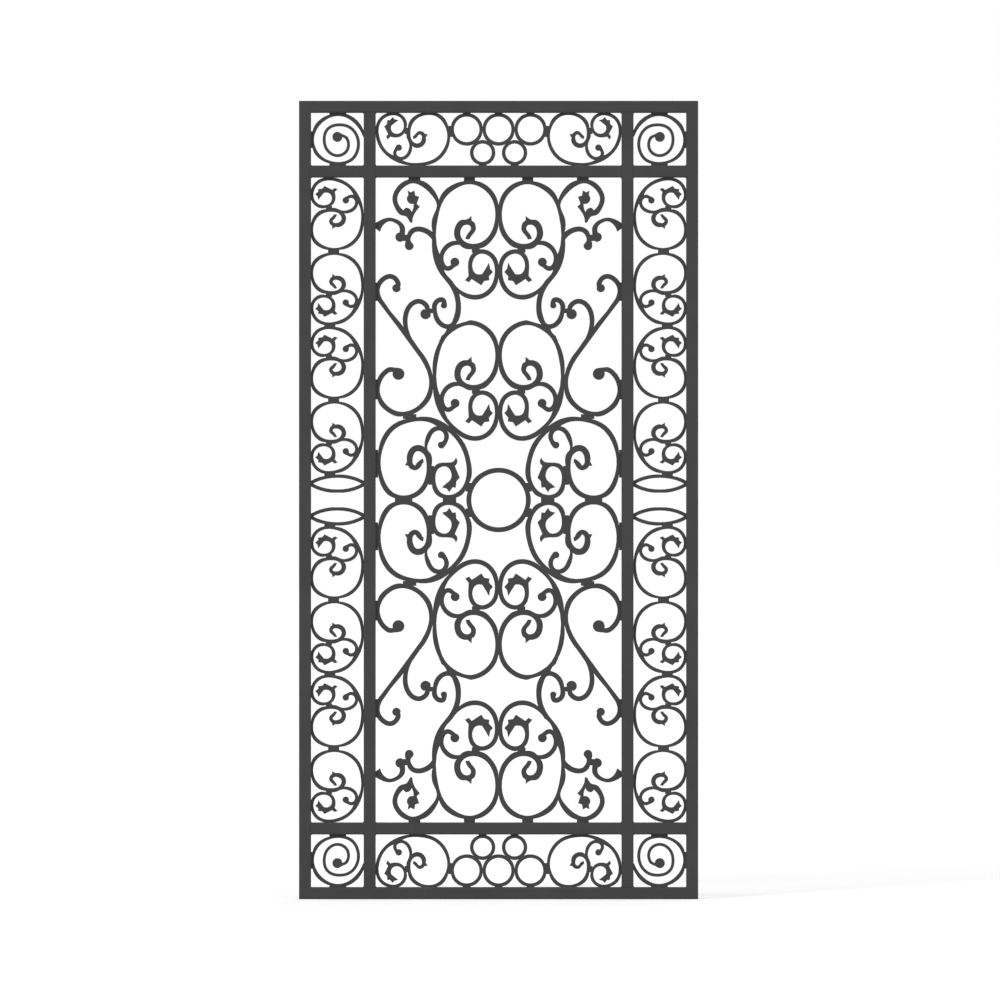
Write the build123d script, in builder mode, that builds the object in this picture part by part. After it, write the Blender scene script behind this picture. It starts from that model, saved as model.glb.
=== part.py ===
"""Laser-cut metal screen panel: a square tube frame with scrollwork plates welded into its bays.

The origin is the centre of the bottom rail's underside, +Z is up and the front faces -Y.
"""
import os
from math import ceil, cos, radians, sin
from build123d import *

# Frame of square tube, in mm
PANEL_WIDTH = 1000
PANEL_HEIGHT = 2000
TUBE_FACE = 30
TUBE_DEPTH = 30
TUBE_WALL = 2
TUBE_CHAMFER = 2
SIDE_BAY = 132
FRIEZE_BAY = 132

# Laser-cut plates; a bite is how far a band runs past the line that it meets, more so at a tube
PLATE_THICKNESS = 5
CENTRE_BAND = 12.5
SIDE_BAND = 9
BITE = 1.2
WALL_BITE = 2.4
PAD_HEIGHT = 12
COLUMN_PAD = 28
SCROLLS_PER_COLUMN = 4
COLUMN_JOINTS = (0.57, 0.64)
OVAL_HEIGHT = 46
COLUMN_GAP = 36
FRIEZE_SCROLL_WIDTH = 188
FRIEZE_JOINT = 0.36
BIG_RING_COUNT = 3
RING_GAP = 1.2
RING_LAP = 0.9
RING_PAD = 20
CENTRE_RING_RADIUS = 80

# Curves are cut as straight chords, each turning by this many degrees or running this many bands
CENTRE_CHORD_TURN = 34
SIDE_CHORD_TURN = 40
CORNER_CHORD_TURN = 34
OVAL_CHORD_TURN = 18
CHORD_BANDS = 14
CURVE_STEPS = 300
BIG_RING_SIDES = 16
SMALL_RING_SIDES = 14
CENTRE_RING_SIDES = 20

# Bays, worked out from the sizes above
HALF_WIDTH = PANEL_WIDTH / 2
STILE_INNER = HALF_WIDTH - TUBE_FACE
MULLION_OUTER = STILE_INNER - SIDE_BAY
MULLION_INNER = MULLION_OUTER - TUBE_FACE
RAIL_INNER = PANEL_HEIGHT - TUBE_FACE
TRANSOM_OUTER = RAIL_INNER - FRIEZE_BAY
TRANSOM_INNER = TRANSOM_OUTER - TUBE_FACE
MIDDLE = PANEL_HEIGHT / 2
LEVEL = Plane(origin=(0, MIDDLE, 0), z_dir=(0, 1, 0))

# The C scroll, drawn in a box of 158 by 295 with its pad end at the top and its long side at the left
C_BOX = (158, 295)
C_BIG_LOOP = [(91, 1), (126, 14), (154, 49), (159, 95), (140, 146), (99, 166), (64, 149), (60, 122),
              (67, 109), (82, 103), (95, 108), (99, 122), (91, 134), (84, 147)]
C_LONG_SIDE = [(93, 1), (55, 12), (23, 40), (5, 90), (0, 144), (10, 198), (28, 243), (61, 278),
               (107, 294), (144, 274), (158, 234), (152, 198), (136, 182), (113, 179), (96, 193),
               (92, 212), (92, 238)]
C_BALL_CURL = [(67, 156), (40, 161), (23, 179), (20, 204), (33, 221), (46, 217), (53, 205)]
C_LEAF = [(92, 214), (103, 232), (121, 235), (131, 219), (138, 206), (141, 222), (148, 230), (138, 241),
          (139, 251), (126, 253), (119, 264), (95, 248), (88, 256), (78, 251), (87, 240)]
C_SPIKE = [(70, 103), (84, 96), (95, 87), (95, 98), (99, 108)]
C_BRIDGE = (105, 172, 20, 18)

# The rest of the centre pattern, drawn on the upper left quarter of a bay, 308 wide and 808 down
QUARTER = (308, 808)
UPPER_SCROLL = (140, 4, 309, 306)
LOWER_SCROLL = (141, 357, 309, 660)
TURNED_SCROLL = (0, 599, 240, 806)
LEAF_HOOK = [(160, 72), (147, 43), (126, 22), (104, 10), (86, 9), (72, 16), (56, 31), (48, 52), (53, 72),
             (66, 88), (84, 94)]
HOOK_LEAF = [(88, 94), (93, 80), (95, 66), (84, 64), (78, 53), (82, 44), (80, 32), (88, 37), (97, 32),
             (99, 45), (109, 48), (103, 66), (111, 73), (101, 85), (94, 98)]
HOOK_SPIKE = [(66, 86), (74, 76), (83, 77), (90, 86), (95, 94), (92, 113), (86, 113), (80, 102)]
WALL_CURL = [(0, 128), (15, 113), (34, 105), (52, 110), (65, 122), (67, 137), (61, 149)]
SIDE_CURL = [(147, 149), (128, 135), (109, 129), (93, 133), (83, 148), (84, 171)]
S_SCROLL = [(53, 280), (55, 262), (40, 248), (18, 255), (4, 280), (13, 312), (46, 356), (86, 401),
            (119, 453), (139, 500), (133, 547), (104, 581), (62, 593), (23, 574), (4, 535), (15, 498),
            (36, 481), (57, 492)]
S_KNOB = (52, 277, 10.5)
LOW_BRANCH = [(86, 406), (74, 355), (89, 318), (109, 310), (129, 325), (125, 342)]
HIGH_BRANCH = [(194, 371), (168, 370), (148, 338), (155, 309), (166, 306), (171, 320)]
TAIL = [(187, 263), (207, 316), (204, 347), (178, 392), (162, 412)]
JOINING_PADS = [(97, 4, 30, 12), (235, 4, 28, 12), (75, 151, 14, 16), (140, 334, 16, 12), (85, 599, 34, 12),
                (138, 756, 12, 28), (233, 776, 16, 22), (70, 808, 44, 12), (185, 808, 34, 12),
                (2, 286, 6, 46), (2, 531, 8, 50), (2, 717, 8, 70)]

# The corner spiral, drawn on the upper left corner bay, 132 by 132
CORNER = (132, 132)
CORNER_SPIRAL = [(135, 57), (122, 38), (107, 18), (66, 3), (22, 24), (3, 66), (21, 109), (66, 127),
                 (105, 114), (117, 92), (117, 64), (100, 38), (67, 30), (42, 40), (33, 70), (44, 97),
                 (67, 107), (87, 98), (94, 80), (88, 62), (66, 60)]
CORNER_PADS = [(67, 2, 42, 8), (2, 67, 8, 42), (67, 130, 42, 8)]


def chord_marks(curve, turn, longest):
    """Places along a curve, from 0 to 1, that cut it into chords of like turning and length."""
    shares = [k / CURVE_STEPS for k in range(CURVE_STEPS + 1)]
    spots = [curve.position_at(share, position_mode=PositionMode.PARAMETER) for share in shares]
    used = [0.0]
    for k in range(1, CURVE_STEPS):
        bend = (spots[k + 1] - spots[k]).get_angle(spots[k] - spots[k - 1])
        used.append(used[-1] + bend / turn + (spots[k] - spots[k - 1]).length / longest)
    count = ceil(used[-1])
    marks = [0.0]
    for share, so_far in zip(shares, used):
        if so_far >= len(marks) * used[-1] / count:
            marks.append(share)
    return marks[:count] + [1.0]


def outline(points):
    """A flat face with straight edges."""
    return Face(Wire.make_polygon([Vector(*point) for point in points], close=True))


def ribbon(place, band, turn, points, *shares, ball=0):
    """A band along a smooth line, its width in shares of the band, with a round ball at its end."""
    curve = Edge.make_spline([Vector(*place(*point)) for point in points])
    marks = chord_marks(curve, turn, band * CHORD_BANDS)
    left = []
    right = []
    for mark in marks:
        spot = curve.position_at(mark, position_mode=PositionMode.PARAMETER)
        ahead = curve.tangent_at(mark, position_mode=PositionMode.PARAMETER)
        aside = Vector(-ahead.Y, ahead.X)
        reach = mark * (len(shares) - 1)
        low = min(int(reach), len(shares) - 1)
        high = min(low + 1, len(shares) - 1)
        half = band / 2 * (shares[low] + (shares[high] - shares[low]) * (reach - low))
        left.append(spot + aside * half)
        right.append(spot - aside * half)
    if ball:
        del left[-1], right[-1]
        for degrees in (125, 75, 25, -25, -75, -125):
            left.append(spot + (ahead * cos(radians(degrees)) + aside * sin(radians(degrees))) * band * ball)
    return outline([*left, *reversed(right)])


def as_drawn(x, z):
    """A point that is already a real place on the panel."""
    return (x, z)


def pad(place, across, down, width, height):
    """A small solid bridge that ties neighbouring bands together or to a tube."""
    corners = ((-1, -1), (1, -1), (1, 1), (-1, 1))
    return outline([place(across + side * width / 2, down + rise * height / 2) for side, rise in corners])


def knob(place, across, down, radius):
    """A round knob with eight sides."""
    angles = [radians(45 * side) for side in range(8)]
    return outline([place(across + radius * cos(angle), down + radius * sin(angle)) for angle in angles])


def c_scroll(cell, band, turn, turned=False, ball=0.9):
    """The faces of one C scroll stretched over a cell: x and z of its start corner and its far corner."""
    inset = band / 2 - BITE
    x_start, z_start, x_end, z_end = cell
    x_inset = inset if x_end > x_start else -inset
    z_inset = inset if z_end > z_start else -inset

    def place(across, along):
        across = across / C_BOX[0]
        along = along / C_BOX[1]
        if turned:
            across, along = along, across
        x = x_start + x_inset + (x_end - x_start - 2 * x_inset) * across
        z = z_start + z_inset + (z_end - z_start - 2 * z_inset) * along
        return (x, z)

    return [
        ribbon(place, band, turn, C_BIG_LOOP, 1, 1, 1, 1.15, 1.3, 0.8),
        ribbon(place, band, turn, C_LONG_SIDE, 1, 1, 0.9),
        ribbon(place, band, turn, C_BALL_CURL, 0.95, ball=ball),
        outline([place(*point) for point in C_LEAF]),
        outline([place(*point) for point in C_SPIKE]),
        pad(place, *C_BRIDGE),
    ]


def ring(centre, radius, band, sides):
    """A round ring of straight chords that laps a little over the radius that it is given."""
    with Locations(centre):
        RegularPolygon(radius + RING_LAP, sides)
        RegularPolygon(radius + RING_LAP - band, sides, mode=Mode.SUBTRACT)


def clip_to_bay(left, bottom, right, top):
    """Trim the plate flush with the tubes round its bay."""
    with Locations(((left + right) / 2, (bottom + top) / 2)):
        Rectangle(right - left, top - bottom, mode=Mode.INTERSECT)


def centre_place(across, down):
    """A point of the drawn quarter, set on the upper left quarter of the centre bay."""
    x = -MULLION_INNER + across * MULLION_INNER / QUARTER[0]
    z = TRANSOM_INNER - down * (TRANSOM_INNER - MIDDLE) / QUARTER[1]
    return (x, z)


def centre_cell(left, top, right, bottom):
    """A drawn cell's two corners, on the real quarter."""
    return (*centre_place(left, top), *centre_place(right, bottom))


def centre_ribbon(points, *shares, ball=0):
    """A band of the centre pattern."""
    return ribbon(centre_place, CENTRE_BAND, CENTRE_CHORD_TURN, points, *shares, ball=ball)


def centre_quarter():
    """The faces of the upper left quarter of the centre pattern."""
    faces = c_scroll(centre_cell(*UPPER_SCROLL), CENTRE_BAND, CENTRE_CHORD_TURN)
    faces += c_scroll(centre_cell(*LOWER_SCROLL), CENTRE_BAND, CENTRE_CHORD_TURN)
    faces += c_scroll(centre_cell(*TURNED_SCROLL), CENTRE_BAND, CENTRE_CHORD_TURN, turned=True, ball=0.72)
    faces.append(centre_ribbon(LEAF_HOOK, 1))
    faces.append(outline([centre_place(*point) for point in HOOK_LEAF]))
    faces.append(outline([centre_place(*point) for point in HOOK_SPIKE]))
    faces.append(centre_ribbon(WALL_CURL, 2.2, 1.1, 0.75, 0.8, 1.1, 1.2, ball=0.95))
    faces.append(centre_ribbon(SIDE_CURL, 1.5, 1.05, 1, 1, ball=0.88))
    faces.append(centre_ribbon(S_SCROLL, 1, ball=1.2))
    faces.append(knob(centre_place, *S_KNOB))
    faces.append(centre_ribbon(LOW_BRANCH, 1, ball=1.05))
    faces.append(centre_ribbon(HIGH_BRANCH, 1, ball=0.65))
    faces.append(centre_ribbon(TAIL, 1.1, 1.1, 1.1, 0.75))
    faces.extend(pad(centre_place, *size) for size in JOINING_PADS)
    return faces


def corner_faces(x_sign, z_sign):
    """The spiral of one corner bay."""
    def place(across, down):
        x = x_sign * (STILE_INNER - across * SIDE_BAY / CORNER[0])
        z = MIDDLE + z_sign * (RAIL_INNER - MIDDLE - down * FRIEZE_BAY / CORNER[1])
        return (x, z)

    faces = [ribbon(place, SIDE_BAND, CORNER_CHORD_TURN, CORNER_SPIRAL, 1.2, 0.95, 0.85, 0.85, ball=1.4)]
    faces.extend(pad(place, *size) for size in CORNER_PADS)
    return faces


def column_faces(x_sign, z_sign):
    """Four C scrolls above one another, turned head to head and foot to foot, and the oval below them."""
    long_side = x_sign * (MULLION_OUTER - WALL_BITE + BITE)
    far_side = x_sign * (STILE_INNER + WALL_BITE - BITE)
    span = far_side - long_side
    top = TRANSOM_INNER - MIDDLE + WALL_BITE - BITE
    pitch = (top - COLUMN_GAP / 2 - OVAL_HEIGHT) / SCROLLS_PER_COLUMN
    faces = []
    for number in range(SCROLLS_PER_COLUMN):
        upper = MIDDLE + z_sign * (top - number * pitch)
        lower = upper - z_sign * pitch
        start, end = (upper, lower) if number % 2 else (lower, upper)
        faces += c_scroll((long_side, start, far_side, end), SIDE_BAND, SIDE_CHORD_TURN)
        joint = long_side + span * COLUMN_JOINTS[number % 2]
        faces.append(pad(as_drawn, joint, lower, COLUMN_PAD, PAD_HEIGHT))
    middle = MIDDLE + z_sign * (COLUMN_GAP + OVAL_HEIGHT) / 2
    rise = (OVAL_HEIGHT - SIDE_BAND) / 2 + BITE / 2
    bow = ((0, 0.1), (0.2, 0.7), (0.5, 1), (0.8, 0.7), (1, 0.1))
    for side in (1, -1):
        points = [(long_side + span * share, middle + side * rise * height) for share, height in bow]
        faces.append(ribbon(as_drawn, SIDE_BAND, OVAL_CHORD_TURN, points, 1))
    return faces


def frieze_faces(z_sign):
    """The C scrolls at both ends of a frieze."""
    long_side = MIDDLE + z_sign * (TRANSOM_OUTER - MIDDLE - WALL_BITE + BITE)
    far_side = MIDDLE + z_sign * (RAIL_INNER - MIDDLE + WALL_BITE - BITE)
    faces = []
    for x_sign in (-1, 1):
        start = x_sign * (MULLION_INNER - FRIEZE_SCROLL_WIDTH)
        cell = (start, long_side, x_sign * (MULLION_INNER + WALL_BITE - BITE), far_side)
        faces += c_scroll(cell, SIDE_BAND, SIDE_CHORD_TURN, turned=True)
        joint = far_side - z_sign * FRIEZE_BAY * FRIEZE_JOINT
        faces.append(pad(as_drawn, start, joint, PAD_HEIGHT, COLUMN_PAD))
    return faces


def tube(label, corners, along):
    """A length of square tube with its wall, its front outline given by its corners."""
    with BuildPart() as bar:
        with BuildSketch(Plane.XZ.offset(-TUBE_DEPTH / 2)):
            Polygon(*corners, align=None)
        extrude(amount=TUBE_DEPTH)
        chamfer(bar.edges().filter_by(along), length=TUBE_CHAMFER)
        box = bar.part.bounding_box()
        bore = TUBE_DEPTH - 2 * TUBE_WALL
        clear = TUBE_FACE - 2 * TUBE_WALL
        with Locations(box.center()):
            if along == Axis.Z:
                Box(clear, bore, box.size.Z, mode=Mode.SUBTRACT)
            else:
                Box(box.size.X, bore, clear, mode=Mode.SUBTRACT)
    bar.part.label = label
    export_step(bar.part, f"parts/{label}.step")


def upright_corners(x_sign, outer, inner, end_outer, end_inner):
    """The front outline of an upright tube, its ends mitred where the two end heights differ."""
    return [(x_sign * outer, end_outer), (x_sign * inner, end_inner),
            (x_sign * inner, PANEL_HEIGHT - end_inner), (x_sign * outer, PANEL_HEIGHT - end_outer)]


os.makedirs("parts", exist_ok=True)

# Stiles and mullions
for side, x_sign in (("left", -1), ("right", 1)):
    corners = upright_corners(x_sign, HALF_WIDTH, STILE_INNER, 0, TUBE_FACE)
    tube(f"{side}_stile", corners, Axis.Z)
    corners = upright_corners(x_sign, MULLION_OUTER, MULLION_INNER, TUBE_FACE, TUBE_FACE)
    tube(f"{side}_mullion", corners, Axis.Z)

# Rails and transoms
BAYS = (("left", -STILE_INNER, -MULLION_OUTER), ("centre", -MULLION_INNER, MULLION_INNER),
        ("right", MULLION_OUTER, STILE_INNER))
for level, rail, z_sign in (("upper", "top", 1), ("lower", "bottom", -1)):
    outer = MIDDLE + z_sign * MIDDLE
    inner = MIDDLE + z_sign * (RAIL_INNER - MIDDLE)
    tube(f"{rail}_rail", [(-HALF_WIDTH, outer), (HALF_WIDTH, outer), (STILE_INNER, inner),
                          (-STILE_INNER, inner)], Axis.X)
    over = MIDDLE + z_sign * (TRANSOM_OUTER - MIDDLE)
    under = MIDDLE + z_sign * (TRANSOM_INNER - MIDDLE)
    for bay, left, right in BAYS:
        corners = [(left, over), (right, over), (right, under), (left, under)]
        tube(f"{level}_{bay}_transom", corners, Axis.X)

# Corner spirals and side scrolls, one of each for every quarter
PLATE_BACK = Plane.XZ.offset(-PLATE_THICKNESS / 2)
for level, z_sign in (("upper", 1), ("lower", -1)):
    rail_line = MIDDLE + z_sign * (RAIL_INNER - MIDDLE)
    frieze_line = MIDDLE + z_sign * (TRANSOM_OUTER - MIDDLE)
    column_line = MIDDLE + z_sign * (TRANSOM_INNER - MIDDLE)
    for side, x_sign in (("left", -1), ("right", 1)):
        left, right = sorted((x_sign * MULLION_OUTER, x_sign * STILE_INNER))
        low, high = sorted((frieze_line, rail_line))
        with BuildPart() as corner_spiral:
            with BuildSketch(PLATE_BACK):
                add(corner_faces(x_sign, z_sign))
                clip_to_bay(left, low, right, high)
            extrude(amount=PLATE_THICKNESS)
        corner_spiral.part.label = f"{level}_{side}_corner_spiral"
        export_step(corner_spiral.part, f"parts/{level}_{side}_corner_spiral.step")

        low, high = sorted((MIDDLE, column_line))
        with BuildPart() as side_scroll:
            with BuildSketch(PLATE_BACK):
                add(column_faces(x_sign, z_sign))
                clip_to_bay(left, low, right, high)
            extrude(amount=PLATE_THICKNESS)
        side_scroll.part.label = f"{level}_{side}_side_scroll"
        export_step(side_scroll.part, f"parts/{level}_{side}_side_scroll.step")

# Friezes: a C scroll at each end, large rings between them and small rings nested below
RING_PITCH = 2 * (MULLION_INNER - FRIEZE_SCROLL_WIDTH) / BIG_RING_COUNT
BIG_RING = RING_PITCH / 2
SMALL_RING = (FRIEZE_BAY - BIG_RING - 2 * RING_GAP) ** 2 / (2 * (FRIEZE_BAY - 2 * RING_GAP))
for level, z_sign in (("upper", 1), ("lower", -1)):
    rail_line = MIDDLE + z_sign * (RAIL_INNER - MIDDLE)
    frieze_line = MIDDLE + z_sign * (TRANSOM_OUTER - MIDDLE)
    low, high = sorted((frieze_line, rail_line))
    with BuildPart() as frieze:
        with BuildSketch(PLATE_BACK):
            add(frieze_faces(z_sign))
            for number in range(BIG_RING_COUNT):
                x = (number - (BIG_RING_COUNT - 1) / 2) * RING_PITCH
                centre = (x, rail_line - z_sign * (BIG_RING + RING_GAP))
                ring(centre, BIG_RING, SIDE_BAND, BIG_RING_SIDES)
                add(pad(as_drawn, x, rail_line, RING_PAD, PAD_HEIGHT / 2))
            for number in range(BIG_RING_COUNT - 1):
                x = (number - (BIG_RING_COUNT - 2) / 2) * RING_PITCH
                centre = (x, frieze_line + z_sign * (SMALL_RING + RING_GAP))
                ring(centre, SMALL_RING, SIDE_BAND, SMALL_RING_SIDES)
                add(pad(as_drawn, x, frieze_line, RING_PAD, PAD_HEIGHT / 2))
            clip_to_bay(-MULLION_INNER, low, MULLION_INNER, high)
        extrude(amount=PLATE_THICKNESS)
    frieze.part.label = f"{level}_frieze"
    export_step(frieze.part, f"parts/{level}_frieze.step")

# Centre plate: one quarter drawn, then mirrored across and down
with BuildPart() as centre_scroll_plate:
    with BuildSketch(PLATE_BACK):
        add(centre_quarter())
        clip_to_bay(-MULLION_INNER, MIDDLE - BITE, BITE, TRANSOM_INNER)
        mirror(about=Plane.YZ)
        mirror(about=LEVEL)
        ring((0, MIDDLE), CENTRE_RING_RADIUS, CENTRE_BAND, CENTRE_RING_SIDES)
    extrude(amount=PLATE_THICKNESS)
centre_scroll_plate.part.label = "centre_scroll_plate"
export_step(centre_scroll_plate.part, "parts/centre_scroll_plate.step")
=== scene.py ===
"""Looks of the laser-cut metal screen panel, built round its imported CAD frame.

Every scroll plate is cut anew with true curves and rounded rims over its CAD outline, the tubes
get rolled corners, and weld beads tie plates to tubes. Metres, +Z up, the front faces -Y.
"""

import math
import random

import bpy
import numpy as np
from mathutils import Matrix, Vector
from mathutils.geometry import delaunay_2d_cdt


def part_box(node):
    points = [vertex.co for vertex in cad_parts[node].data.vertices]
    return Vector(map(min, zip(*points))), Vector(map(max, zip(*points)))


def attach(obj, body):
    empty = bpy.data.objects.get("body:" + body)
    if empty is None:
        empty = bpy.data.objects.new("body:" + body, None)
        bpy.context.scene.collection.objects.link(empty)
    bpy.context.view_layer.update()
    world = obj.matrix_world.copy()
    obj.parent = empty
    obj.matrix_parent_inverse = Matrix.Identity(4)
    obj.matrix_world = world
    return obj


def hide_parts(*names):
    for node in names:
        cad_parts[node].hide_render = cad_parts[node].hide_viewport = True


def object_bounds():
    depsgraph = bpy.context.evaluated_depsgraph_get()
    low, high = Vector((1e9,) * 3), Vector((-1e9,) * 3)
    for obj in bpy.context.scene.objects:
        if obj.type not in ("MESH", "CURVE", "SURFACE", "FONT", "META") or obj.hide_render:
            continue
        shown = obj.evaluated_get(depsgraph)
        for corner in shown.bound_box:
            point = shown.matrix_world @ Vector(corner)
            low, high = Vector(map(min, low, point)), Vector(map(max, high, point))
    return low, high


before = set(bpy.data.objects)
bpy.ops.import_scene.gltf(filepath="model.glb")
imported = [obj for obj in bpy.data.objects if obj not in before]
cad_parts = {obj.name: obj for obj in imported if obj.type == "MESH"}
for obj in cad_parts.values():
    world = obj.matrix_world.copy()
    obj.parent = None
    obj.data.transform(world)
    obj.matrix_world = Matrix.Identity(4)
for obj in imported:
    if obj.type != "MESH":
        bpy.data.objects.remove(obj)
LOADED_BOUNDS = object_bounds()

# Which nodes are plates, and which tubes meet in mitres
PLATE_WORDS = ("scroll", "spiral", "frieze")
MITRED_WORDS = ("stile", "rail")
NODES = sorted(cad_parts)
PLATES = [name for name in NODES if any(word in name for word in PLATE_WORDS)]
TUBES = [name for name in NODES if name not in PLATES]
PANEL_MIDDLE = [(low + high) / 2 for low, high in zip(*LOADED_BOUNDS)]

# Plate outlines: a turn over SHARP_TURN stays a corner. JOINED_TURN is enough where a sharp point
# was joined with its neighbour, and NOOK_TURN in the nook between two bulges
SHARP_TURN = math.radians(56)
JOINED_TURN = math.radians(30)
NOOK_TURN = math.radians(14)
SAMPLE_TURN = math.radians(8)
SHORTEST_CHORD = 0.0012

# Plate rims
RIM = 0.0006
MITRE_LIMIT = 2.0

# How closely places agree: on one side of a bay, on one face, and in rounding
SAME = 2e-5
FLAT = 1e-6
FLAT_DIGITS = 6
ROUNDING = 1e-9

# A bay's sides as (0 for x or 1 for z, 0 for low or 1 for high)
LEFT, RIGHT, BOTTOM, TOP = (0, 0), (0, 1), (1, 0), (1, 1)

# Tubes: rolled corners, and a fine bevel round each end as rings of (inset, distance from the end)
TUBE_CORNER = 0.004
CORNER_STEPS = 6
SEAM = 0.0004
BEVEL = ((SEAM, 0), (0, SEAM))
QUARTERS = ((1, 1), (-1, 1), (-1, -1), (1, -1))

# Weld beads
BEAD_RADIUS = 0.0021
BEAD_UNEVEN = 0.03
WIDEST_BEAD = BEAD_RADIUS * (1 + BEAD_UNEVEN)
BEAD_END = 0.35
BEAD_STEP = 0.0007
BEAD_SIDES = 8
FEWEST_STEPS = 4
SHORTEST_BEAD = 0.003
RIPPLE_PITCH = 0.0026
RIPPLE_SHARE = 0.13

# Coat: its noises are (scale, detail), its ranges (least, most)
COAT_COLOUR = 0.042
COAT_SPECULAR = 0.25
DARK_TONE = (0.92, 0.92, 0.93)
LIGHT_TONE = (1.08, 1.08, 1.08)
TONE_RANGE = (0.3, 0.7)
TONE_NOISE = (14.0, 4.0)
ROUGHNESS_RANGE = (0.44, 0.6)
ROUGHNESS_NOISE = (70.0, 3.0)
PEEL_NOISE = (650.0, 2.0)
PEEL_STRENGTH = 0.3
PEEL_DEPTH = 0.00008

# Studio: a white floor and world, whose light is even except for the panel's soft shadow
FLOOR_HALF = 90
FLOOR_SHADE = 0.7
FLOOR_GLOW = 0.45
AMBIENT = 0.5
SEEN_WHITE = 1.0

# Lamps: name, where the light comes from, strength, softness in degrees
SUNS = (("key", (-0.5, -0.75, 0.55), 1.3, 14), ("fill", (0.7, -0.7, 0.35), 0.6, 25),
        ("back", (0.2, 0.8, 0.5), 0.5, 20))

# Camera: the place that the photograph centres on, and how much it takes in
PHOTO_CENTRE_X = 0.0035
PHOTO_CENTRE_Z = 1.0
PICTURE_WIDTH = 2.506
CAMERA_DISTANCE = 25.0
CAMERA_NEAR = 0.5
CAMERA_FAR = 300
SENSOR = 36.0

SEED = 11
random.seed(SEED)


def empty_tree(owner):
    """The nodes and links of a material or world, with nothing in them."""
    owner.use_nodes = True
    owner.node_tree.nodes.clear()
    return owner.node_tree.nodes, owner.node_tree.links


def placed(name, data):
    """A new object in the scene."""
    thing = bpy.data.objects.new(name, data)
    bpy.context.scene.collection.objects.link(thing)
    return thing


def powder_coat():
    """Dark grey powder coat: fine orange peel, slightly uneven gloss and tone."""
    material = bpy.data.materials.new("dark_grey_powder_coat")
    nodes, links = empty_tree(material)
    output = nodes.new("ShaderNodeOutputMaterial")
    shader = nodes.new("ShaderNodeBsdfPrincipled")
    shader.inputs["Metallic"].default_value = 0.0
    shader.inputs["Specular IOR Level"].default_value = COAT_SPECULAR
    links.new(shader.outputs[0], output.inputs[0])
    place = nodes.new("ShaderNodeTexCoord")

    def noise(scale, detail):
        node = nodes.new("ShaderNodeTexNoise")
        node.inputs["Scale"].default_value = scale
        node.inputs["Detail"].default_value = detail
        links.new(place.outputs["Object"], node.inputs["Vector"])
        return node.outputs[0]

    tone = nodes.new("ShaderNodeValToRGB")
    for stop, position, shade in zip(tone.color_ramp.elements, TONE_RANGE, (DARK_TONE, LIGHT_TONE)):
        stop.position = position
        stop.color = (*(COAT_COLOUR * share for share in shade), 1)
    links.new(noise(*TONE_NOISE), tone.inputs[0])
    links.new(tone.outputs[0], shader.inputs["Base Color"])

    gloss = nodes.new("ShaderNodeMapRange")
    gloss.inputs["To Min"].default_value = ROUGHNESS_RANGE[0]
    gloss.inputs["To Max"].default_value = ROUGHNESS_RANGE[1]
    links.new(noise(*ROUGHNESS_NOISE), gloss.inputs["Value"])
    links.new(gloss.outputs[0], shader.inputs["Roughness"])

    bump = nodes.new("ShaderNodeBump")
    bump.inputs["Strength"].default_value = PEEL_STRENGTH
    bump.inputs["Distance"].default_value = PEEL_DEPTH
    links.new(noise(*PEEL_NOISE), bump.inputs["Height"])
    links.new(bump.outputs[0], shader.inputs["Normal"])
    return material


COAT = powder_coat()


def make_piece(name, points, faces, normals, node=None):
    """A mesh of the panel with its own corner normals, in place of a CAD node if one is named."""
    mesh = bpy.data.meshes.new(name)
    mesh.from_pydata(points, [], faces)
    mesh.polygons.foreach_set("use_smooth", [True] * len(mesh.polygons))
    mesh.normals_split_custom_set(normals)
    mesh.materials.append(COAT)
    piece = placed(name, mesh)
    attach(piece, "root")
    if node:
        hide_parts(node)


# Plates

def on_side(point, low, high):
    """Which sides of its bay a point lies on."""
    sides = set()
    for axis, across in ((0, 0), (2, 1)):
        if abs(point[across] - low[axis]) < SAME:
            sides.add((across, 0))
        if abs(point[across] - high[axis]) < SAME:
            sides.add((across, 1))
    return sides


def joined_points(loop, low, high):
    """A loop whose crowded points are joined, except at the tubes, and which of its points are sharp."""
    kept, sharp = [], []
    for k, point in enumerate(loop):
        turn = (point - loop[k - 1]).angle(loop[(k + 1) % len(loop)] - point)
        crowded = kept and (point - kept[-1]).length < SHORTEST_CHORD
        if not crowded or on_side(point, low, high):
            kept.append(point)
            sharp.append(turn > SHARP_TURN)
            continue
        sharp[-1] = sharp[-1] or turn > SHARP_TURN
        if not on_side(kept[-1], low, high):
            kept[-1] = (kept[-1] + point) / 2
    return kept, sharp


def front_loops(node):
    """The outlines of a plate's front face: (x, z) points with the metal on their left, and sharp ones."""
    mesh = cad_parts[node].data
    front = min(vertex.co.y for vertex in mesh.vertices)
    spots = [(round(vertex.co.x, FLAT_DIGITS), round(vertex.co.z, FLAT_DIGITS)) for vertex in mesh.vertices]
    mesh.calc_loop_triangles()
    edges = set()
    for triangle in mesh.loop_triangles:
        if all(abs(mesh.vertices[index].co.y - front) < FLAT for index in triangle.vertices):
            corners = [spots[index] for index in triangle.vertices]
            edges.update(zip(corners, corners[1:] + corners[:1]))
    onward = {start: end for start, end in edges if (end, start) not in edges}
    loops = []
    while onward:
        start, here = onward.popitem()
        loop = [start]
        while here != start:
            loop.append(here)
            here = onward.pop(here)
        loops.append([Vector(point) for point in loop])
    return [joined_points(loop, *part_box(node)) for loop in loops]


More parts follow.
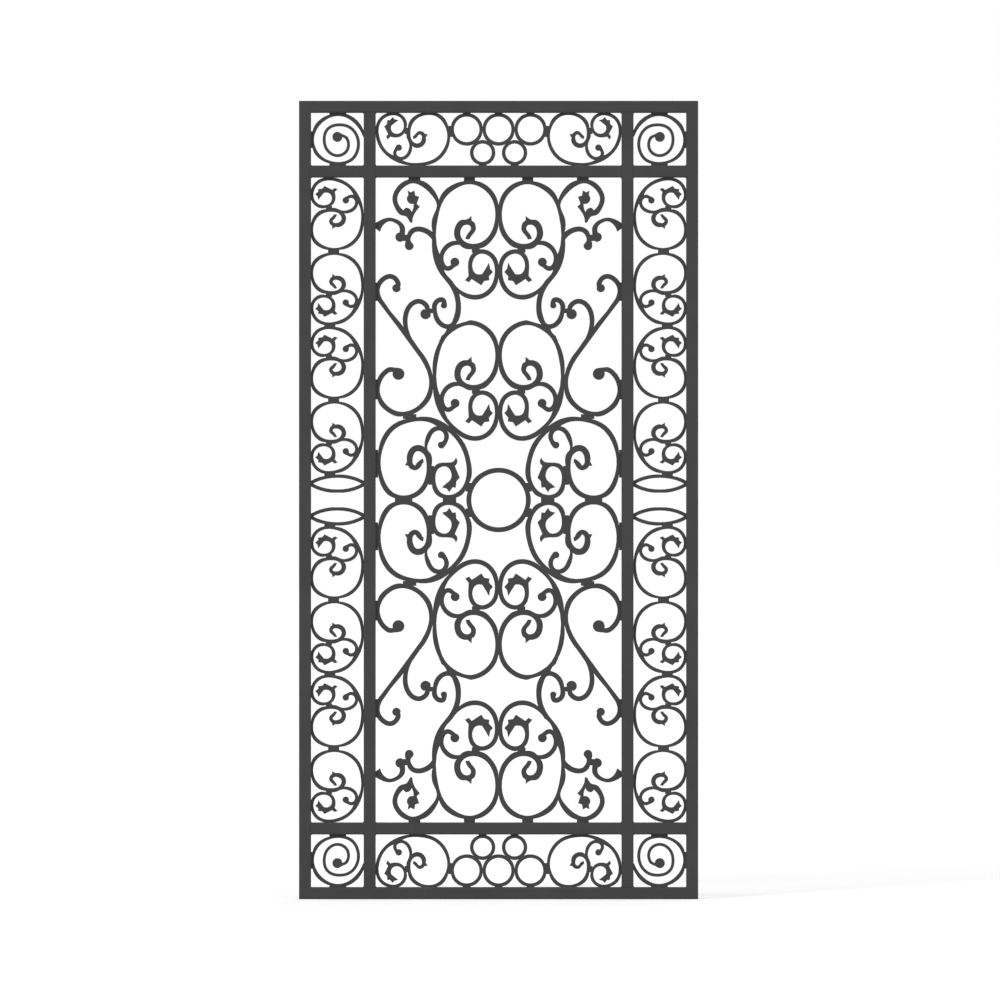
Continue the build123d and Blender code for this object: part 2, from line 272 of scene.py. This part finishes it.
def spline_directions(points, closed):
    """Directions of the smoothest curve through the points, with even curvature in its end chords."""
    spots = np.array([list(point) for point in points])
    count = len(points)
    steps = np.roll(spots, -1, axis=0) - spots
    lengths = np.linalg.norm(steps, axis=1)
    sums = np.zeros((count, count))
    totals = np.zeros((count, 2))
    for k in range(count):
        if not closed and k in (0, count - 1):
            near, last = (1, 0) if k == 0 else (k - 1, k - 1)
            sums[k, k] = sums[k, near] = 1
            totals[k] = 2 * steps[last] / lengths[last]
            continue
        before, after = 1 / lengths[k - 1], 1 / lengths[k]
        sums[k, k - 1] += before
        sums[k, k] += 2 * (before + after)
        sums[k, (k + 1) % count] += after
        totals[k] = 3 * (steps[k - 1] * before ** 2 + steps[k] * after ** 2)
    return [Vector(row).normalized() for row in np.linalg.solve(sums, totals)]


def corner_places(ways, sharp, straight):
    """Where an outline keeps a corner: at a sharp turn, in a nook, and at each end of a straight chord."""
    count = len(ways)
    turns = [ways[k - 1].angle_signed(ways[k]) for k in range(count)]
    corners = []
    for k in range(count):
        nook = turns[k] > NOOK_TURN and max(turns[k - 1], turns[(k + 1) % count]) < 0
        cut = abs(turns[k]) > (JOINED_TURN if sharp[k] else SHARP_TURN)
        if cut or nook or straight[k - 1] or straight[k]:
            corners.append(k)
    return corners


def chord_headings(loop, ways, corners):
    """The directions in which each chord's curve leaves and arrives, smooth between the corners."""
    count = len(loop)
    if not corners:
        found = spline_directions(loop, True)
        return list(zip(found, found[1:] + found[:1]))
    headings = [None] * count
    for start, end in zip(corners, corners[1:] + [corners[0] + count]):
        if end - start > 1:
            found = spline_directions([loop[k % count] for k in range(start, end + 1)], False)
        else:
            found = [ways[start], ways[start]]
        for k in range(start, end):
            headings[k % count] = (found[k - start], found[k + 1 - start])
    return headings


def curved(loop, sharp, low, high):
    """The loop with true curves for its chords: (point, direction coming in, direction going out)."""
    count = len(loop)
    chords = [(loop[(k + 1) % count] - loop[k]) for k in range(count)]
    ways = [chord.normalized() for chord in chords]
    sides = [on_side(point, low, high) for point in loop]
    straight = [bool(sides[k] & sides[(k + 1) % count]) for k in range(count)]
    headings = chord_headings(loop, ways, corner_places(ways, sharp, straight))
    samples = []
    for k in range(count):
        start, end = loop[k], loop[(k + 1) % count]
        leave, arrive = headings[k]
        bend = ways[k].angle(leave) + ways[k].angle(arrive)
        pieces = max(1, math.ceil(bend / SAMPLE_TURN))
        handle = chords[k].length / 3 / math.cos(bend / 4) ** 2
        first, second = start + leave * handle, end - arrive * handle
        samples.append((start, headings[k - 1][1], leave))
        for step in range(1, pieces):
            t = step / pieces
            point = ((1 - t) ** 3 * start + 3 * (1 - t) ** 2 * t * first
                     + 3 * (1 - t) * t ** 2 * second + t ** 3 * end)
            heading = ((1 - t) ** 2 * (first - start) + 2 * (1 - t) * t * (second - first)
                       + t ** 2 * (end - second)).normalized()
            point.x = min(max(point.x, low.x), high.x)
            point.y = min(max(point.y, low.z), high.z)
            samples.append((point, heading, heading))
    return samples


def metal_triangles(points, edges):
    """Triangles that cover the metal, and all their corners: points, then any where curves cross."""
    whole_hull = 0
    cover = delaunay_2d_cdt(points, edges, [], whole_hull, ROUNDING, True)
    spots, triangles, origins = cover[0], cover[2], cover[3]
    names = [sources[0] if sources else None for sources in origins]
    extra = [index for index, name in enumerate(names) if name is None]
    for number, index in enumerate(extra):
        names[index] = len(points) + number
    corners = list(points) + [spots[index] for index in extra]
    starts = np.array([points[a] for a, b in edges])
    ends = np.array([points[b] for a, b in edges])
    rise = ends[:, 1] - starts[:, 1]
    slant = (ends[:, 0] - starts[:, 0]) / np.where(rise == 0, 1, rise)
    kept = []
    for triangle in triangles:
        a, b, c = (spots[index] for index in triangle)
        middle = (a + b + c) / 3
        up = (starts[:, 1] <= middle.y) & (ends[:, 1] > middle.y)
        down = (ends[:, 1] <= middle.y) & (starts[:, 1] > middle.y)
        right = starts[:, 0] + (middle.y - starts[:, 1]) * slant > middle.x
        if np.count_nonzero(up & right) > np.count_nonzero(down & right):
            kept.append([names[index] for index in triangle])
    return corners, kept


def chained(pairs):
    """Closed loops from directed edges."""
    onward = {}
    for start, end in pairs:
        onward.setdefault(start, []).append(end)
    loops = []
    while onward:
        start = next(iter(onward))
        loop = [start]
        here = start
        while True:
            nexts = onward[here]
            following = nexts.pop()
            if not nexts:
                del onward[here]
            if following == start:
                break
            loop.append(following)
            here = following
        loops.append(loop)
    return loops


def outward(heading):
    """Away from the metal, which lies on the left."""
    return Vector((heading.y, -heading.x))


def rims(corners, samples, loops):
    """Each corner's outward directions, coming and going, and its place drawn in by the rim."""
    outsides = {}
    insets = list(corners)
    for loop in loops:
        for k, index in enumerate(loop):
            before, after = loop[k - 1], loop[(k + 1) % len(loop)]
            sampled = index < len(samples) and max(before, after) < len(samples)
            if sampled:
                coming, going = samples[index][1:]
            else:
                coming = (corners[index] - corners[before]).normalized()
                going = (corners[after] - corners[index]).normalized()
            outsides[index] = (outward(coming), outward(going))
            push = sum(outsides[index], Vector((0, 0)))
            push /= max(push.length_squared / 2, 1 / MITRE_LIMIT)
            insets[index] = corners[index] - push * RIM
    return outsides, insets


def cut_plate(node):
    """A plate with curved outlines and rounded rims in place of its CAD node, and its outlines."""
    low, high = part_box(node)
    samples, edges = [], []
    for loop, sharp in front_loops(node):
        ring = curved(loop, sharp, low, high)
        first = len(samples)
        edges.extend((first + k, first + (k + 1) % len(ring)) for k in range(len(ring)))
        samples.extend(ring)
    corners, cap = metal_triangles([sample[0] for sample in samples], edges)
    used = set()
    for triangle in cap:
        used.update(zip(triangle, triangle[1:] + triangle[:1]))
    loops = chained([edge for edge in used if (edge[1], edge[0]) not in used])
    outsides, insets = rims(corners, samples, loops)

    total = len(corners)
    points = []
    depths = (low.y, low.y + RIM, high.y - RIM, high.y)
    for depth, flat in zip(depths, (insets, corners, corners, insets)):
        points.extend((point.x, depth, point.y) for point in flat)
    back = (len(depths) - 1) * total
    toward, away = (0.0, -1.0, 0.0), (0.0, 1.0, 0.0)
    faces, normals = [], []
    for triangle in cap:
        faces.append(triangle)
        normals.extend([toward] * len(triangle))
        faces.append([index + back for index in reversed(triangle)])
        normals.extend([away] * len(triangle))
    for loop in loops:
        for k, a in enumerate(loop):
            b = loop[(k + 1) % len(loop)]
            leave, arrive = outsides[a][1], outsides[b][0]
            leave, arrive = (leave.x, 0.0, leave.y), (arrive.x, 0.0, arrive.y)
            shades = ((toward, leave, arrive, toward), (leave, leave, arrive, arrive),
                      (leave, away, away, arrive))
            for level, shade in enumerate(shades):
                near, far = level * total, (level + 1) * total
                faces.append([a + near, a + far, b + far, b + near])
                normals.extend(shade)
    make_piece(f"cut_{node}", points, faces, normals, node)
    return [[corners[index] for index in loop] for loop in loops]


# Tubes

def rounded_square(half):
    """A tube's section: (u, v, outward u, outward v), anticlockwise."""
    flat = half - TUBE_CORNER
    section = []
    for quarter, (u_side, v_side) in enumerate(QUARTERS):
        for step in range(CORNER_STEPS + 1):
            angle = math.pi / 2 * (quarter + step / CORNER_STEPS)
            u, v = math.cos(angle), math.sin(angle)
            section.append((u_side * flat + TUBE_CORNER * u, v_side * flat + TUBE_CORNER * v, u, v))
    return section


def mitred(node):
    """Whether a tube's ends are mitred, not butted."""
    return any(word in node for word in MITRED_WORDS)


def tube_section(low, high):
    """A tube's length axis, the axis across it in the panel's plane, and its section."""
    along, across = (2, 0) if high.z - low.z > high.x - low.x else (0, 2)
    return along, across, rounded_square((high[across] - low[across]) / 2)


def turned_over(faces, normals):
    """The same faces seen from their other side."""
    turned = []
    place = 0
    for face in faces:
        turned.extend(normals[place:place + len(face)][::-1])
        place += len(face)
    return [face[::-1] for face in faces], turned


def rolled_tube(node):
    """A tube with rolled corners in place of its CAD node; stiles and rails keep their mitres."""
    low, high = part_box(node)
    along, across, section = tube_section(low, high)
    middle = [(low[k] + high[k]) / 2 for k in range(3)]
    outer_edge = high[across] if middle[across] > PANEL_MIDDLE[across] else low[across]
    size = len(section)
    points = []
    for end, sign, rings in ((low[along], 1, BEVEL), (high[along], -1, BEVEL[::-1])):
        for inset, back in rings:
            for u, v, u_out, v_out in section:
                point = list(middle)
                point[across] += u - inset * u_out
                point[1] += v - inset * v_out
                point[along] = end + sign * back
                if mitred(node):
                    point[along] += sign * abs(outer_edge - point[across])
                points.append(point)
    last = len(points) - size
    faces, normals = [], []
    for ring in range(0, last, size):
        for k in range(size):
            a, b = ring + k, ring + (k + 1) % size
            faces.append([a, b, b + size, a + size])
            for index in (k, (k + 1) % size, (k + 1) % size, k):
                normal = [0.0, section[index][3], 0.0]
                normal[across] = section[index][2]
                normals.append(normal)
    axis = [0.0, 0.0, 0.0]
    axis[along] = 1.0
    faces.append(list(range(size))[::-1])
    normals.extend([[-value for value in axis]] * size)
    faces.append(list(range(last, last + size)))
    normals.extend([axis] * size)
    if along == 0:
        faces, normals = turned_over(faces, normals)
    make_piece(f"rolled_{node}", points, faces, normals, node)


# Welds

def bead(path, normal, closed):
    """A rippled weld bead along a path that lies flat against a normal: its points, faces and normals."""
    lengths = [0.0]
    for a, b in zip(path, path[1:] + path[:1]):
        lengths.append(lengths[-1] + (b - a).length)
    reach = lengths[-1] if closed else lengths[-2]
    count = max(FEWEST_STEPS, round(reach / BEAD_STEP))
    ripples = max(1, round(reach / RIPPLE_PITCH))
    places = []
    leg = 0
    for k in range(count if closed else count + 1):
        there = reach * k / count
        while lengths[leg + 1] < there - ROUNDING:
            leg += 1
        a, b = path[leg], path[(leg + 1) % len(path)]
        places.append(a + (b - a).normalized() * (there - lengths[leg]))
    points, faces, normals = [], [], []
    lean = random.uniform(0, 1)
    for k, spot in enumerate(places):
        if closed:
            ahead = (places[(k + 1) % len(places)] - places[k - 1]).normalized()
        else:
            ahead = (places[min(k + 1, count)] - places[max(k - 1, 0)]).normalized()
        aside = normal.cross(ahead)
        phase = (k / count * ripples + lean) % 1
        uneven = random.uniform(-BEAD_UNEVEN, BEAD_UNEVEN)
        radius = BEAD_RADIUS * (1 - RIPPLE_SHARE * abs(2 * phase - 1) + uneven)
        if not closed:
            to_end = min(k, count - k) * reach / count
            radius *= min(1, BEAD_END + (1 - BEAD_END) * (to_end / BEAD_RADIUS))
        for side in range(BEAD_SIDES):
            angle = 2 * math.pi * side / BEAD_SIDES
            out = normal * math.cos(angle) + aside * math.sin(angle)
            points.append(spot + out * radius)
            normals.append(out)
    rows = len(places)
    for k in range(rows if closed else rows - 1):
        for side in range(BEAD_SIDES):
            a, b = k * BEAD_SIDES + side, k * BEAD_SIDES + (side + 1) % BEAD_SIDES
            onward = ((k + 1) % rows - k) * BEAD_SIDES
            faces.append([a, a + onward, b + onward, b])
    if not closed:
        faces.append(list(range(BEAD_SIDES)))
        faces.append([(rows - 1) * BEAD_SIDES + side for side in reversed(range(BEAD_SIDES))])
    return points, faces, normals


def join_beads(name, beads):
    """One piece from several beads."""
    points, faces, normals = [], [], []
    for bead_points, bead_faces, bead_normals in beads:
        first = len(points)
        points.extend(bead_points)
        for face in bead_faces:
            faces.append([index + first for index in face])
            normals.extend(bead_normals[index] for index in face)
    make_piece(name, points, faces, normals)


def welded_sides(node):
    """The sides on which a plate has a tube: all four, but a side scroll's inner end has none."""
    sides = {LEFT, RIGHT, BOTTOM, TOP}
    if "side_scroll" in node:
        sides.discard(BOTTOM if "upper" in node else TOP)
    return sides


def plate_welds(node, loops):
    """Fillets in front and behind wherever a plate runs along a tube."""
    low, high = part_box(node)
    runs = []
    for loop in loops:
        for k, start in enumerate(loop):
            end = loop[(k + 1) % len(loop)]
            if on_side(start, low, high) & on_side(end, low, high) & welded_sides(node):
                if runs and (runs[-1][1] - start).length < SAME:
                    runs[-1][1] = end
                else:
                    runs.append([start, end])
    beads = []
    for start, end in runs:
        if (end - start).length < SHORTEST_BEAD:
            continue
        for depth in (low.y, high.y):
            path = [Vector((start.x, depth, start.y)), Vector((end.x, depth, end.y))]
            beads.append(bead(path, Vector((0, 1, 0)), False))
    join_beads(f"welds_{node}", beads)


def tube_welds(node):
    """A bead round each end of a butted tube, sunk to its faces so that the panel's faces stay flush."""
    low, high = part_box(node)
    along, across, section = tube_section(low, high)
    normal = Vector((0, 0, 0))
    normal[along] = 1
    beads = []
    for end in (low[along], high[along]):
        path = []
        for u, v, _, v_out in section:
            point = (low + high) / 2
            point[across] += u
            point[1] += v - WIDEST_BEAD * v_out
            point[along] = end
            path.append(point)
        beads.append(bead(path, normal, True))
    return beads


# Studio

def background_share(nodes, links):
    """1 for what the camera sees, straight, mirrored or through glass, and else 0."""
    path = nodes.new("ShaderNodeLightPath")
    total = path.outputs["Is Camera Ray"]
    for kind in ("Is Glossy Ray", "Is Transmission Ray"):
        either = nodes.new("ShaderNodeMath")
        either.operation = "MAXIMUM"
        links.new(total, either.inputs[0])
        links.new(path.outputs[kind], either.inputs[1])
        total = either.outputs[0]
    return total


def white_floor():
    """A floor that shows white and keeps the panel's shadow."""
    mesh = bpy.data.meshes.new("floor")
    mesh.from_pydata([(x * FLOOR_HALF, y * FLOOR_HALF, 0) for x, y in ((-1, -1), (1, -1), (1, 1), (-1, 1))],
                     [], [(0, 1, 2, 3)])
    floor = placed("floor", mesh)
    paper = bpy.data.materials.new("white_floor")
    nodes, links = empty_tree(paper)
    matt = nodes.new("ShaderNodeBsdfDiffuse")
    matt.inputs["Color"].default_value = (FLOOR_SHADE, FLOOR_SHADE, FLOOR_SHADE, 1)
    glow = nodes.new("ShaderNodeEmission")
    strength = nodes.new("ShaderNodeMath")
    strength.operation = "MULTIPLY"
    strength.inputs[1].default_value = FLOOR_GLOW
    links.new(background_share(nodes, links), strength.inputs[0])
    links.new(strength.outputs[0], glow.inputs["Strength"])
    both = nodes.new("ShaderNodeAddShader")
    links.new(matt.outputs[0], both.inputs[0])
    links.new(glow.outputs[0], both.inputs[1])
    links.new(both.outputs[0], nodes.new("ShaderNodeOutputMaterial").inputs[0])
    mesh.materials.append(paper)


def white_world():
    """Even light all round, seen as plain white."""
    world = bpy.data.worlds.new("white_world")
    bpy.context.scene.world = world
    nodes, links = empty_tree(world)
    choice = nodes.new("ShaderNodeMixShader")
    links.new(background_share(nodes, links), choice.inputs[0])
    for strength, socket in zip((AMBIENT, SEEN_WHITE), choice.inputs[1:]):
        shader = nodes.new("ShaderNodeBackground")
        shader.inputs["Color"].default_value = (1, 1, 1, 1)
        shader.inputs["Strength"].default_value = strength
        links.new(shader.outputs[0], socket)
    links.new(choice.outputs[0], nodes.new("ShaderNodeOutputWorld").inputs[0])


def sun(name, toward, strength, softness):
    """A soft lamp far off in a direction."""
    data = bpy.data.lights.new(name, "SUN")
    data.energy = strength
    data.angle = math.radians(softness)
    lamp = placed(name, data)
    lamp.rotation_euler = (-Vector(toward)).to_track_quat("-Z", "Y").to_euler()


def photo_camera():
    """A far camera straight in front, which frames the panel as the photograph does."""
    data = bpy.data.cameras.new("camera")
    data.sensor_width = SENSOR
    data.lens = SENSOR * CAMERA_DISTANCE / PICTURE_WIDTH
    data.clip_start = CAMERA_NEAR
    data.clip_end = CAMERA_FAR
    camera = placed("camera", data)
    camera.location = (PHOTO_CENTRE_X, -CAMERA_DISTANCE, PHOTO_CENTRE_Z)
    camera.rotation_euler = (math.radians(90), 0, 0)
    bpy.context.scene.camera = camera


for plate in PLATES:
    plate_welds(plate, cut_plate(plate))

frame_beads = []
for tube in TUBES:
    rolled_tube(tube)
    if not mitred(tube):
        frame_beads.extend(tube_welds(tube))
join_beads("welds_frame", frame_beads)

white_floor()
white_world()
for lamp_settings in SUNS:
    sun(*lamp_settings)
photo_camera()
bpy.context.scene.view_settings.view_transform = "Standard"
